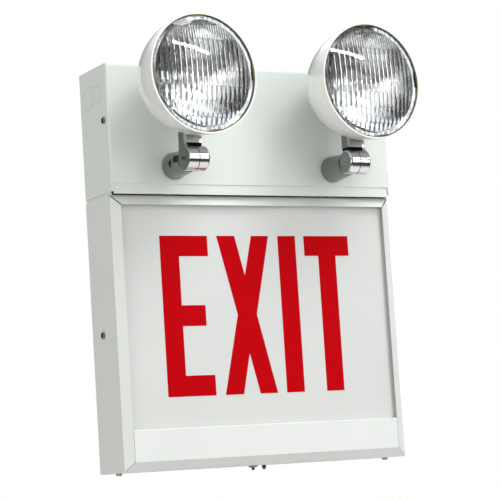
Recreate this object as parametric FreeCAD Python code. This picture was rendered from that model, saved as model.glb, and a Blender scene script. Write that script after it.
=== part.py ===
import FreeCAD, Part
import math
import os

os.makedirs("parts", exist_ok=True)

V = FreeCAD.Vector

# All sizes in millimetres. X runs to the right as a person facing the sign sees it,
# +Y runs back into the wall, +Z is up. The origin is on the wall plane, at the centre
# of the outlet box pattern in the back of the upper box.

# ---- driving dimensions ----
box_width = 305.0            # both boxes, across
sheet = 1.0                  # folded steel
upper_half_height = 62.5     # upper box, centre to top and to bottom
upper_depth = 62.0           # wall to front of the upper cover
strip_height = 9.5           # joggled strip along the bottom of the upper cover
reveal = 3.0                 # back pan seen below the cover's sides
sign_height = 258.0          # lower box
sign_side_depth = 55.5       # wall to the outer edge of the frame flange
flange_width = 9.0           # frame flange, seen from the front
flange_rise = 5.0            # how far its inner edge stands forward
band_height = 29.5           # flat band along the bottom of the sign
panel_thickness = 3.0
panel_setback = 0.3          # panel front behind the flange's outer edge
head_spacing = 174.0         # between the two lamp heads
pivot_reach = 44.0           # upper cover to tilt axis
pivot_height = -35.0         # tilt axis above the origin
head_rise = 73.0             # lamp axis above tilt axis
rim_forward = 37.0           # lamp rim in front of tilt axis
rim_radius = 56.5
neck_offset = 3.0            # lamp axis outboard of its swivel base
lamp_turn = 4.5              # degrees that both lamps stand turned on their neck screws
saddle_wall = 4.0            # casting under the lamp, which takes the neck screw
bowl_depth = 68.0            # lamp housing, rim to flat back
bowl_back_radius = 23.8      # flat at the back of the lamp housing
bowl_wall = 1.6
ear_radius = 11.75           # knuckle halves
ear_length = 11.0
dome_height = 8.0            # lens
lens_radius = 54.0
lens_wall = 3.0
flute_field = 48.5           # radius that the flutes fill
flute_pitch = 5.2
flute_depth = 1.0
flute_rows = 6
row_height = 14.3
row_offset = 2.5             # lamp axis to the nearest step between rows
battery_depth = 34.0
battery_height = 94.0
nut_across = 17.0            # nut on each hollow stem
battery_gap = 1.7            # battery to each nut
terminal_depth = 31.2        # lamp base and blades behind the reflector
knockout_radius = 11.1
box_screw_spacing = 88.9     # outlet box screws, through the back of the upper box
button_travel = 1.5

# ---- derived levels ----
half = box_width / 2
top_z = upper_half_height
seam_z = -upper_half_height
foot_z = seam_z - sign_height
cover_y = -upper_depth
side_y = -sign_side_depth
frame_y = side_y - flange_rise
panel_y = side_y + panel_setback
in_x = half - flange_width
in_top = seam_z - flange_width
in_foot = foot_z + flange_width
band_top = in_foot + band_height
pivot_y = cover_y - pivot_reach
lamp_z = pivot_height + head_rise
rim_y = pivot_y - rim_forward
bowl_semi_depth = bowl_depth / math.sqrt(1 - (bowl_back_radius / rim_radius) ** 2)


def box(x0, x1, y0, y1, z0, z1):
    """Axis-aligned block between two corners given in any order."""
    a, b = sorted((x0, x1))
    c, d = sorted((y0, y1))
    e, f = sorted((z0, z1))
    return Part.makeBox(b - a, d - c, f - e, V(a, c, e))


def rod(radius, start, end):
    """Cylinder from one point to another."""
    a, b = V(*start), V(*end)
    d = b.sub(a)
    return Part.makeCylinder(radius, d.Length, a, d)


def merged(shape):
    """Join faces that lie on one surface, where that leaves a sound solid."""
    joined = shape.copy().removeSplitter()
    if joined.isValid() and len(joined.Solids) == len(shape.Solids):
        return joined
    return shape


def fuse(shapes):
    """One solid from overlapping shapes."""
    out = shapes[0]
    for extra in shapes[1:]:
        out = out.fuse(extra)
    return merged(out)


def carve(body, tools):
    """Body less each tool in turn."""
    for tool in tools:
        body = body.cut(tool)
    return merged(body)


def prism(points, direction):
    """Solid swept from a flat closed outline."""
    pts = [V(*p) for p in points]
    face = Part.Face(Part.makePolygon(pts + [pts[0]]))
    return face.extrude(V(*direction))


def turned(points, centre_x, centre_z):
    """Solid of revolution about an axis along Y; points are (radius, y)."""
    pts = [V(centre_x + r, y, centre_z) for r, y in points]
    face = Part.Face(Part.makePolygon(pts + [pts[0]]))
    return face.revolve(V(centre_x, 0, centre_z), V(0, 1, 0), 360)


def hexagon(across, start, end):
    """Hexagonal bar between two points."""
    a, b = V(*start), V(*end)
    d = b.sub(a)
    side = V(0, 0, 1) if abs(d.z) < 0.7 * d.Length else V(1, 0, 0)
    u = d.cross(side)
    u.normalize()
    w = d.cross(u)
    w.normalize()
    r = across / math.sqrt(3)
    pts = []
    for k in range(6):
        t = math.radians(60 * k)
        pts.append(a + u * (r * math.cos(t)) + w * (r * math.sin(t)))
    return Part.Face(Part.makePolygon(pts + [pts[0]])).extrude(d)


def pan_screw(head, shank, seat, direction, grip, head_height, slot=0.9):
    """Pan head screw: seat is under the head, direction points down the shank."""
    s = V(*seat)
    d = V(*direction)
    d.normalize()
    cap = Part.makeCylinder(head, head_height, s - d * head_height, d)
    rims = [e for e in cap.Edges if abs(e.BoundBox.DiagonalLength) > head and
            (e.CenterOfMass - s).dot(d) < -0.8 * head_height]
    cap = cap.makeFillet(head_height * 0.5, rims[:1])
    body = Part.makeCylinder(shank, grip, s, d)
    out = cap.fuse(body)
    side = V(0, 0, 1) if abs(d.z) < 0.7 else V(0, 1, 0)
    w = d.cross(side)
    top = s - d * head_height
    cut = prism([tuple(top + side * head * 1.1 + w * (slot / 2)),
                 tuple(top - side * head * 1.1 + w * (slot / 2)),
                 tuple(top - side * head * 1.1 - w * (slot / 2)),
                 tuple(top + side * head * 1.1 - w * (slot / 2))],
                tuple(d * (head_height * 0.45)))
    return merged(out.cut(cut))


def save(name, *solids):
    """Write one named node; several solids make a group of like pieces."""
    shape = solids[0] if len(solids) == 1 else Part.makeCompound(list(solids))
    if len(shape.Solids) != len(solids) or not shape.isValid():
        raise ValueError(name + " is not made of closed solids")
    shape.exportStep("parts/" + name + ".step")


# ---- upper box: back pan ----
screw_y, screw_z = -53.0, 9.0          # cover screw on each side
channel_screw_y, channel_screw_z = -25.4, -191.0
ko_y, ko_z = -20.0, 37.0               # conduit knockout on each side
bushing_x, bushing_y = -half + 40.5, -28.0
joint_x, joint_y = half - 68.5, -12.0
transformer_x, transformer_z = half - 33.5, -32.0
lug_x = 25.6                           # transformer centre to each lug screw
bracket_screw_x = 22.0
bracket_screw_z = seam_z + sheet + battery_height + 13.5
keyhole_x, keyhole_z = half - 32.5, 44.0
pan_x = half - sheet
pan_front = -57.0


def keyhole(x, z, big=4.0, small=2.2, rise=8.0):
    """Hanging slot through the back plates."""
    return fuse([rod(big, (x, -3, z), (x, 3, z)),
                 rod(small, (x, -3, z + rise), (x, 3, z + rise)),
                 box(x - small, x + small, -3, 3, z, z + rise)])


def back_pan():
    shell = box(-pan_x, pan_x, pan_front, 0, seam_z, top_z - sheet)
    shell = shell.cut(box(-pan_x + sheet, pan_x - sheet, pan_front - 1, -sheet,
                          seam_z + sheet, top_z - 2 * sheet))
    lip = box(-pan_x + sheet, pan_x - sheet, pan_front - 1, cover_y + 9, seam_z - 1, seam_z + sheet)
    cuts = [lip, rod(knockout_radius, (0, -3, 0), (0, 3, 0))]
    for s in (-1, 1):
        cuts.append(rod(2.6, (s * box_screw_spacing / 2, -3, 0), (s * box_screw_spacing / 2, 3, 0)))
        cuts.append(keyhole(s * keyhole_x, keyhole_z))
        cuts.append(rod(15.0, (s * (pan_x - 3), ko_y, ko_z), (s * (pan_x + 3), ko_y, ko_z)))
        cuts.append(rod(2.0, (s * (pan_x - 3), screw_y, screw_z), (s * (pan_x + 3), screw_y, screw_z)))
        cuts.append(rod(2.0, (s * joint_x, joint_y, seam_z - 2), (s * joint_x, joint_y, seam_z + 3)))
        cuts.append(rod(1.5, (s * bracket_screw_x, -3, bracket_screw_z),
                        (s * bracket_screw_x, 3, bracket_screw_z)))
        x = transformer_x + s * lug_x
        cuts.append(rod(1.5, (x, -3, transformer_z), (x, 3, transformer_z)))
    cuts.append(rod(9.0, (bushing_x, bushing_y, seam_z - 2), (bushing_x, bushing_y, seam_z + 3)))
    return carve(shell, cuts)


save("back_pan", back_pan())


# ---- upper box: front cover ----
def scored_circle(s, radius):
    """Shallow ring groove that marks a knockout on the side s."""
    ring = rod(radius + 0.25, (s * (half - 0.4), ko_y, ko_z), (s * (half + 1), ko_y, ko_z))
    return ring.cut(rod(radius - 0.25, (s * (half - 1), ko_y, ko_z), (s * (half + 2), ko_y, ko_z)))


def lanced_tab(s):
    """Three shallow score lines, open to the back, beside the knockout."""
    y0, y1, z0, z1, g = -30.0, -47.0, 29.0, 43.5, 0.25
    x0, x1 = s * (half - 0.4), s * (half + 1)
    return [box(x0, x1, y0, y1, z0 - g, z0 + g), box(x0, x1, y0, y1, z1 - g, z1 + g),
            box(x0, x1, y1 - g, y1 + g, z0 - g, z1 + g)]


def front_cover():
    low = seam_z + sheet
    skin = box(-half, half, cover_y, -0.5, low, top_z)
    bends = []
    for e in skin.Edges:
        b = e.BoundBox
        upright = b.ZLength > 50 and b.YMax < cover_y + 0.1
        brow = b.XLength > 50 and b.YMax < cover_y + 0.1 and b.ZMin > top_z - 0.1
        if upright or brow:
            bends.append(e)
    skin = skin.makeFillet(1.8, bends)
    hollow = box(-half + sheet, half - sheet, cover_y + sheet, 5, low - 5, top_z - sheet)
    inner = [e for e in hollow.Edges if e.BoundBox.YMax < cover_y + sheet + 0.1 and
             (e.BoundBox.ZLength > 50 or e.BoundBox.ZMin > top_z - sheet - 0.1)]
    hollow = hollow.makeFillet(0.8, inner)
    skin = skin.cut(hollow)
    strip_top = seam_z + sheet + strip_height
    edge = half - 2.0
    cuts = [box(-edge, edge, cover_y - 1, cover_y + sheet + 1, low - 1, strip_top)]
    for s in (-1, 1):
        cuts.append(box(s * (half - sheet - 0.05), s * (half + 1), cover_y + 4, 2,
                        low - 1, seam_z + reveal))
        cuts.append(box(s * (half - 2.4), s * (half + 1), cover_y - 1, cover_y + 4.1,
                        low - 1, seam_z + reveal))
        cuts.append(scored_circle(s, knockout_radius))
        cuts.extend(lanced_tab(s))
        cuts.append(rod(2.1, (s * (half - 3), screw_y, screw_z), (s * (half + 3), screw_y, screw_z)))
        x = s * head_spacing / 2
        cuts.append(rod(5.08, (x, cover_y - 2, pivot_height), (x, cover_y + 4, pivot_height)))
    skin = carve(skin, cuts)
    strip = fuse([box(-edge + 0.4, edge - 0.4, cover_y + 0.9, cover_y + 1.9, low, strip_top + sheet),
                  box(-edge, edge, cover_y + 0.3, cover_y + 1.9, strip_top, strip_top + sheet)])
    return fuse([skin, strip])


save("front_cover", front_cover())

side_screws = []
for s in (-1, 1):
    side_screws.append(pan_screw(3.3, 2.0, (s * half, screw_y, screw_z), (-s, 0, 0), 5.0, 2.0))
    side_screws.append(pan_screw(3.3, 2.0, (s * half, channel_screw_y, channel_screw_z),
                                 (-s, 0, 0), 5.0, 2.0))
save("side_screws", *side_screws)


# ---- battery and its bracket ----
bat_w = head_spacing - 2 * nut_across / math.sqrt(3) - 2 * battery_gap
bat_d, bat_h = battery_depth, battery_height
bat_front = cover_y + 4.0
bat_back = bat_front + bat_d
bat_foot = seam_z + sheet
bat_top = bat_foot + bat_h


def battery():
    case = box(-bat_w / 2, bat_w / 2, bat_front, bat_back, bat_foot, bat_top)
    case = case.makeFillet(2.0, [e for e in case.Edges if e.BoundBox.ZLength > 50])
    groove = box(-bat_w, bat_w, bat_front - 5, bat_back + 5, bat_top - 12.4, bat_top - 11.6)
    keep = box(-bat_w / 2 + 0.6, bat_w / 2 - 0.6, bat_front + 0.6, bat_back - 0.6,
               bat_foot, bat_top)
    return merged(case.cut(groove.cut(keep)))


save("battery", battery())

tabs = []
for s in (-1, 1):
    x = s * (bat_w / 2 - 8)
    foot = box(x - 3.5, x + 3.5, bat_back - 12, bat_back - 4, bat_top, bat_top + 0.8)
    blade = box(x - 2.4, x + 2.4, bat_back - 12, bat_back - 11.2, bat_top, bat_top + 7.5)
    tabs.append(fuse([foot, blade]))
save("battery_terminals", *tabs)


def battery_bracket():
    half_w = 30.0
    foot = box(-half_w, half_w, -sheet - 1, -sheet, bat_top, bat_top + 20)
    arm = box(-half_w, half_w, bat_front - 1, -sheet, bat_top, bat_top + 1)
    lip = box(-half_w, half_w, bat_front - 1, bat_front, bat_top - 12, bat_top + 1)
    stop = box(-half_w, half_w, bat_back, bat_back + 1, bat_top - 14, bat_top + 1)
    out = fuse([foot, arm, lip, stop])
    holes = [rod(1.6, (s * bracket_screw_x, -5, bracket_screw_z),
                 (s * bracket_screw_x, 2, bracket_screw_z)) for s in (-1, 1)]
    relief = [rod(3.5, (s * 15, -12, bat_top - 2), (s * 15, -12, bat_top + 3)) for s in (-1, 1)]
    return carve(out, holes + relief)


save("battery_bracket", battery_bracket())


# ---- transformer ----
def transformer():
    x0, x1 = transformer_x - 22, transformer_x + 22
    z0, z1 = transformer_z - 20, transformer_z + 20
    bracket = fuse([box(x0 - 6, x1 + 6, -2.2, -sheet, z0 + 10, z1 - 10),
                    box(x0 - 1.2, x0, -29, -sheet, z0 + 10, z1 - 10),
                    box(x1, x1 + 1.2, -29, -sheet, z0 + 10, z1 - 10),
                    box(x0 - 1.2, x1 + 1.2, -29, -27.8, z0 + 10, z1 - 10)])
    core = box(x0, x1, -27.9, -9, z0, z1)
    coil = box(x0 + 9, x1 - 9, -35, -2.6, z0 + 7, z1 - 7)
    coil = coil.makeFillet(3.0, [e for e in coil.Edges if e.BoundBox.ZLength > 20])
    body = fuse([bracket, core, coil])
    lug = [rod(1.6, (x, -5, transformer_z), (x, 2, transformer_z))
           for x in (transformer_x - lug_x, transformer_x + lug_x)]
    return carve(body, lug)


save("transformer", transformer())

mounting_screws = []
for s in (-1, 1):
    mounting_screws.append(pan_screw(2.4, 1.5, (s * bracket_screw_x, -sheet - 1, bracket_screw_z),
                                     (0, 1, 0), 1.9, 1.5, 0.7))
    mounting_screws.append(pan_screw(2.4, 1.5, (transformer_x + s * lug_x, -2.2, transformer_z),
                                     (0, 1, 0), 1.9, 1.5, 0.7))
save("mounting_screws", *mounting_screws)

# ---- charger board and what it carries ----
board = (-half + 6.5, -half + 64.5, -50.0, 22.0)
board_back, board_front = -10.4, -12.0
posts = [(x, z) for x in (board[0] + 5, board[1] - 5) for z in (board[2] + 5, board[3] - 5)]


def charger_board():
    plate = box(board[0], board[1], board_front, board_back, board[2], board[3])
    holes = [rod(1.5, (x, -14, z), (x, -9, z)) for x, z in posts]
    return carve(plate, holes)


save("charger_board", charger_board())
save("board_standoffs", *[rod(3.0, (x, board_back, z), (x, -sheet, z)).cut(
    rod(1.5, (x, board_back - 1, z), (x, -4, z))) for x, z in posts])
save("board_screws", *[pan_screw(2.6, 1.5, (x, board_front, z), (0, 1, 0), 6.0, 1.6, 0.7)
                       for x, z in posts])

board_x = board[0]
relay = box(board_x + 8, board_x + 27, board_front, -28, -44, -28)
relay = relay.makeFillet(1.0, [e for e in relay.Edges if e.BoundBox.YLength > 10])
save("charge_relay", relay)

caps = []
for x in (board_x + 45, board_x + 26):
    can = rod(8.0, (x, board_front, -10), (x, -38, -10))
    can = can.makeChamfer(0.9, [e for e in can.Edges if e.BoundBox.YMax < -37.9][:1])
    neck = rod(8.4, (x, -16.4, -10), (x, -15.2, -10)).cut(rod(7.5, (x, -17, -10), (x, -15, -10)))
    caps.append(merged(can.cut(neck)))
save("filter_capacitors", *caps)


def heat_sink():
    x = board_x + 10
    spine = box(x, x + 30, board_front, -15, 6, 13)
    fins = [box(x + 5.6 * k, x + 2 + 5.6 * k, -14, -32, 6, 13) for k in range(6)]
    return fuse([spine] + fins)


save("heat_sink", heat_sink())


def terminal_block():
    left = board_x + 28
    body = box(left, left + 21, board_front, -23, -46, -36)
    cuts = []
    for k in range(4):
        x = left + 2.6 + 5.3 * k
        cuts.append(rod(1.9, (x, -24, -41), (x, -17, -41)))
        cuts.append(box(x - 1.7, x + 1.7, -20, -15, -47, -43.5))
    return carve(body, cuts)


save("terminal_block", terminal_block())


# ---- lower box: frame flange shared by housing and bottom cover ----
def rectangle(x, z0, z1, y):
    return Part.makePolygon([V(-x, y, z0), V(x, y, z0), V(x, y, z1), V(-x, y, z1), V(-x, y, z0)])


def flange_ring():
    """Sheet that slopes forward from the box's outer edge to the window."""
    full = Part.makeLoft([rectangle(half, foot_z, seam_z, side_y),
                          rectangle(in_x, in_foot, in_top, frame_y)], True, True)
    lean = sheet * math.hypot(flange_width, flange_rise) / flange_width
    core = full.copy()
    core.translate(V(0, lean, 0))
    return full.cut(core).cut(box(-in_x, in_x, frame_y - 1, side_y + 1, in_foot, in_top))


def foot_wedge(grow):
    """Region of the flange that belongs to the bottom cover, between the mitres."""
    g = grow
    over = 3.0
    pts = [(-half - over + g, frame_y - 2, foot_z - over), (half + over - g, frame_y - 2, foot_z - over),
           (in_x - over - g, frame_y - 2, in_foot + over), (-in_x + over + g, frame_y - 2, in_foot + over)]
    return prism(pts, (0, flange_rise + 4, 0))


ring = flange_ring()
tab_y0, tab_y1 = -36.0, -20.0
foot_screw_x, foot_screw_y = half - 6.5, -28.0


def sign_housing():
    walls = box(-half, half, side_y - 0.05, 0, foot_z, seam_z)
    walls = walls.cut(box(-half + sheet, half - sheet, side_y - 1, -sheet, foot_z - 1, seam_z - sheet))
    lips = ring.cut(foot_wedge(-0.5))
    parts = [walls, lips]
    for s in (-1, 1):
        parts.append(box(s * (half - 0.5), s * (half - 12), tab_y0, tab_y1,
                         foot_z + sheet, foot_z + 2 * sheet))
    body = fuse(parts)
    cuts = []
    for s in (-1, 1):
        a = V(s * (half + 0.6), side_y + 0.5, seam_z + 0.6)
        b = V(s * (in_x - 1), side_y + 0.5, in_top - 1)
        n = V(1, 0, s) * 0.45
        cuts.append(prism([tuple(a + n), tuple(b + n), tuple(b - n), tuple(a - n)],
                          (0, -flange_rise - 3, 0)))
        cuts.append(rod(2.1, (s * (half - 3), channel_screw_y, channel_screw_z),
                        (s * (half + 3), channel_screw_y, channel_screw_z)))
        cuts.append(rod(2.0, (s * joint_x, joint_y, seam_z - 3), (s * joint_x, joint_y, seam_z + 2)))
        cuts.append(rod(1.5, (s * foot_screw_x, foot_screw_y, foot_z),
                        (s * foot_screw_x, foot_screw_y, foot_z + 4)))
        cuts.append(keyhole(s * (half - 52.5), seam_z - 67.5))
    cuts.append(rod(9.0, (bushing_x, bushing_y, seam_z - 3), (bushing_x, bushing_y, seam_z + 2)))
    return carve(body, cuts)


save("sign_housing", sign_housing())

switch_x, pilot_x, foot_items_y = -6.0, 6.0, -31.5


def bottom_cover():
    band = box(-in_x + 0.3, in_x - 0.3, frame_y, frame_y + sheet, in_foot - 0.2, band_top)
    bevel = ring.common(foot_wedge(0.0))
    plate = box(-half + sheet + 0.2, half - sheet - 0.2, side_y - 0.05, -sheet, foot_z, foot_z + sheet)
    lip = box(-in_x + 0.3, in_x - 0.3, frame_y, panel_y, band_top - sheet, band_top)
    body = fuse([band, bevel, plate, lip])
    brow = [e for e in body.Edges if e.BoundBox.XLength > 200 and e.BoundBox.ZMin > band_top - 0.1 and
            e.BoundBox.YMax < frame_y + 0.1]
    body = body.makeFillet(0.9, brow)
    cuts = [rod(3.05, (switch_x, foot_items_y, foot_z - 2), (switch_x, foot_items_y, foot_z + 3)),
            rod(2.05, (pilot_x, foot_items_y, foot_z - 2), (pilot_x, foot_items_y, foot_z + 3))]
    for s in (-1, 1):
        cuts.append(rod(1.8, (s * foot_screw_x, foot_screw_y, foot_z - 2),
                        (s * foot_screw_x, foot_screw_y, foot_z + 3)))
    return carve(body, cuts)


save("bottom_cover", bottom_cover())
save("bottom_screws", *[pan_screw(2.9, 1.5, (s * foot_screw_x, foot_screw_y, foot_z), (0, 0, 1), 6.5, 2.3)
                        for s in (-1, 1)])

# ---- face panel and what holds it ----
panel_foot = foot_z + 4.5
panel_x = half - 2.5
panel_top, clip = seam_z - 2.4, 9.0
save("face_panel", prism([(-panel_x, panel_y, panel_foot), (panel_x, panel_y, panel_foot),
                          (panel_x, panel_y, panel_top - clip), (panel_x - clip, panel_y, panel_top),
                          (clip - panel_x, panel_y, panel_top), (-panel_x, panel_y, panel_top - clip)],
                         (0, panel_thickness, 0)))
save("panel_pads", *[box(x - 12, x + 12, panel_y + 0.8, panel_y + 5.5, foot_z + sheet, panel_foot)
                     for x in (52.5 - half, half - 52.5)])
channels = []
for s in (-1, 1):
    back = panel_y + panel_thickness
    leg = box(s * (half - sheet), s * (half - 2 * sheet), back, -17, in_foot + 4, in_top - 4)
    lip = box(s * (half - sheet), s * (half - 10), back, back + 1, in_foot + 4, in_top - 4)
    hole = rod(2.0, (s * (half - 4), channel_screw_y, channel_screw_z),
               (s * half, channel_screw_y, channel_screw_z))
    channels.append(merged(fuse([leg, lip]).cut(hole)))
save("panel_channels", *channels)

# ---- light boards behind the panel ----
boards, chips, spacers = [], [], []
strip_half = half - 17.5
chip_pitch = strip_half / 5
for row in (-1, 0, 1):
    z = seam_z - sign_height / 2 - 0.5 - row * (sign_height / 2 - 55)
    boards.append(box(-strip_half, strip_half, -10.6, -9, z - 7, z + 7))
    for k in range(10):
        x = (k - 4.5) * chip_pitch
        chips.append(box(x - 1.8, x + 1.8, -12.2, -10.6, z - 1.8, z + 1.8))
    for k in (-1, 0, 1):
        x = 4 * chip_pitch * k
        spacers.append(rod(3.0, (x, -9, z), (x, -sheet, z)))
save("light_boards", *boards)
save("light_emitters", *chips)
save("light_board_spacers", *spacers)

# ---- joint between the two boxes ----
bolts, nuts = [], []
for s in (-1, 1):
    x = s * joint_x
    bolts.append(pan_screw(3.8, 2.0, (x, joint_y, seam_z + sheet), (0, 0, -1), 8.0, 2.2))
    nut = hexagon(7.0, (x, joint_y, seam_z - sheet), (x, joint_y, seam_z - sheet - 3.0))
    nuts.append(nut.cut(rod(2.0, (x, joint_y, seam_z), (x, joint_y, seam_z - 6))))
save("joining_bolts", *bolts)
save("joining_nuts", *nuts)


def wire_bushing():
    x, y = bushing_x, bushing_y
    sleeve = rod(9.0, (x, y, seam_z - 3.0), (x, y, seam_z + 2.6))
    rims = [rod(11.0, (x, y, seam_z + 1), (x, y, seam_z + 2.6)),
            rod(11.0, (x, y, seam_z - 3.0), (x, y, seam_z - 1))]
    return merged(fuse([sleeve] + rims).cut(rod(6.5, (x, y, seam_z - 5), (x, y, seam_z + 5))))


save("wire_bushing", wire_bushing())

# ---- test switch and pilot light in the bottom cover ----
sx, sy = switch_x, foot_items_y
under = foot_z
body_top = foot_z + 13.0


def test_switch():
    body = box(sx - 5, sx + 5, sy - 5, sy + 5, under + sheet, body_top)
    neck = rod(3.0, (sx, sy, under - 1.9), (sx, sy, under + 3))
    legs = [box(sx - 2.8, sx - 2.2, sy - 1, sy + 1, body_top - 0.5, body_top + 4),
            box(sx + 2.2, sx + 2.8, sy - 1, sy + 1, body_top - 0.5, body_top + 4)]
    out = fuse([body, neck] + legs)
    bore = rod(1.5, (sx, sy, under - 3), (sx, sy, under + 9))
    return merged(out.cut(bore))


save("test_switch", test_switch())
collar = rod(4.3, (sx, sy, under - 1.6), (sx, sy, under))
collar = collar.cut(rod(3.0, (sx, sy, under - 2), (sx, sy, under + 1)))
save("switch_nut", merged(collar))
button = rod(1.45, (sx, sy, under - 4.4), (sx, sy, under + 9 - button_travel - 0.5))
button = button.makeFillet(0.5, [e for e in button.Edges if e.BoundBox.ZMax < under - 4.3][:1])
save("test_button", button)

lx = pilot_x
stem = rod(2.0, (lx, sy, under - 2.3), (lx, sy, under + 1.2))
tip = Part.makeSphere(2.0, V(lx, sy, under - 2.3))
flange = rod(2.6, (lx, sy, under + sheet), (lx, sy, under + 2.2))
pins = [box(lx - 1.5, lx - 1.0, sy - 0.3, sy + 0.3, under + 2, under + 12),
        box(lx + 1.0, lx + 1.5, sy - 0.3, sy + 0.3, under + 2, under + 12)]
save("pilot_light", fuse([stem, tip, flange] + pins))
clip = rod(4.2, (lx, sy, under + sheet), (lx, sy, under + 5))
clip = clip.cut(rod(2.6, (lx, sy, under), (lx, sy, under + 6)))
save("pilot_clip", merged(clip))


# ---- lamp heads ----
def bowl_radius(depth, grow=0.0):
    """Radius of the lamp housing at a depth behind its rim."""
    return (rim_radius + grow) * math.sqrt(1 - (depth / (bowl_semi_depth + grow)) ** 2)


def bowl_outline(grow, depth, steps=14):
    return [(bowl_radius(depth * k / steps, grow), rim_y + depth * k / steps) for k in range(steps + 1)]


def bowl_face(grow, depth, x):
    """Closed half outline with a smooth curved flank, turned about the lamp axis."""
    pts = [V(x + r, y, lamp_z) for r, y in bowl_outline(grow, depth)]
    curve = Part.BSplineCurve()
    curve.interpolate(pts)
    a, b = V(x, rim_y + depth, lamp_z), V(x, rim_y, lamp_z)
    wire = Part.Wire([curve.toShape(), Part.makeLine(pts[-1], a), Part.makeLine(a, b),
                      Part.makeLine(b, pts[0])])
    return Part.Face(wire).revolve(V(x, 0, lamp_z), V(0, 1, 0), 360)


def head_housing(x):
    outer = bowl_face(0.0, bowl_depth, x)
    inner = bowl_face(-bowl_wall, bowl_depth - bowl_wall, x)
    shell = outer.cut(inner)
    shelf = turned([(50.6, rim_y + 6.5), (bowl_radius(6.5) - 0.8, rim_y + 6.5),
                    (bowl_radius(8.5) - 0.8, rim_y + 8.5), (50.6, rim_y + 8.5)], x, lamp_z)
    return shell, shelf


def aimed(shape, x):
    """Lamp piece turned about the upright line through the middle of its rim."""
    out = shape.copy()
    out.rotate(V(x, rim_y, 0), V(0, 0, 1), lamp_turn)
    return out


def yoke_point():
    """Where the neck screw crosses the housing, and the outward normal there."""
    depth = pivot_y + 1.0 - rim_y
    r = bowl_radius(depth)
    n = V(0, depth / bowl_semi_depth ** 2, -r / rim_radius ** 2)
    n.normalize()
    return V(0, rim_y + depth, lamp_z - r), n


def swivel_base(x, s):
    """Casting on the box: flared foot, stem, and the inner knuckle half."""
    z = pivot_height
    end = pivot_y + ear_radius + 1.2
    foot = turned([(0, cover_y), (12.0, cover_y), (13.0, cover_y - 1.2), (13.0, cover_y - 3.0),
                   (10.8, end), (0, end)], x, z)
    stem = rod(5.0, (x, cover_y - 1, z), (x, cover_y + 11, z))
    ear = rod(ear_radius, (x, pivot_y, z), (x - s * ear_length, pivot_y, z))
    far = [e for e in ear.Edges if abs(e.CenterOfMass.x - (x - s * ear_length)) < 0.1 and
           e.BoundBox.ZLength > 5]
    ear = ear.makeFillet(2.2, far[:1])
    near = [e for e in ear.Edges if abs(e.CenterOfMass.x - x) < 0.1 and e.BoundBox.ZLength > 5]
    ear = ear.makeChamfer(0.4, near[:1])
    arm = rod(8.8, (x - s * 0.0, end + 6, z), (x, pivot_y, z)).common(
        box(x, x - s * 8.8, end + 7, pivot_y, z - 9, z + 9))
    body = fuse([foot, stem, ear, arm])
    notch = box(x + s * 7.0, x + s * 15, end - 1, end + 10.5, z - 1.0, z + 5.6)
    spot = rod(4.3, (x + s * 10.6, -79.5, z), (x + s * 16, -79.5, z))
    tapped = rod(1.6, (x + s * 6.0, -79.5, z), (x + s * 12, -79.5, z))
    wire = rod(2.4, (x, cover_y + 12, z), (x, cover_y - 16, z))
    pin = rod(2.5, (x + s, pivot_y, z), (x - s * (ear_length + 1), pivot_y, z))
    return carve(body, [notch, spot, tapped, wire, pin])


def swivel_yoke(x, s):
    """Casting on the lamp: outer knuckle half, open channel neck and curved saddle."""
    z = pivot_height
    ear = rod(ear_radius, (x, pivot_y, z), (x + s * ear_length, pivot_y, z))
    far = [e for e in ear.Edges if abs(e.CenterOfMass.x - (x + s * ear_length)) < 0.1 and
           e.BoundBox.ZLength > 5]
    ear = ear.makeFillet(0.8, far[:1])
    near = [e for e in ear.Edges if abs(e.CenterOfMass.x - x) < 0.1 and e.BoundBox.ZLength > 5]
    ear = ear.makeChamfer(0.4, near[:1])
    front, back, low = pivot_y - 2.0, pivot_y + 9.0, z + ear_radius + 2.8
    high = lamp_z - 20
    xo, xi = x + s * ear_length, x - s * 8.0
    cheek = prism([(xo, front - 4.5, z), (xo, front - 4.5, z + 5), (xo, front, low),
                   (xo, back, low), (xo, back + 1.6, z + 5), (xo, back + 1.6, z)], (-s * 3.0, 0, 0))
    posts = [box(xo, xo - s * 3.0, front, back, low - 1, high),
             box(xi, xi + s * 3.0, front, back, low, high),
             box(xo, xi, back - 2.5, back, low, high)]
    footprint = box(xo, xi, front, back, low, high)
    lamp = x + s * neck_offset
    saddle = aimed(bowl_face(saddle_wall, bowl_depth, lamp), lamp).common(footprint)
    body = fuse([ear, cheek] + posts + [saddle]).cut(aimed(bowl_face(0.0, bowl_depth, lamp), lamp))
    body = max(body.Solids, key=lambda p: p.Volume) if len(body.Solids) > 1 else body
    p, n = yoke_point()
    p = V(lamp, p.y, p.z)
    hole = Part.makeCylinder(1.8, 12, p - n * 4, n)
    pin = rod(2.58, (x - s, pivot_y, z), (x + s * (ear_length + 1), pivot_y, z))
    return carve(body, [hole, pin])


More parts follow.
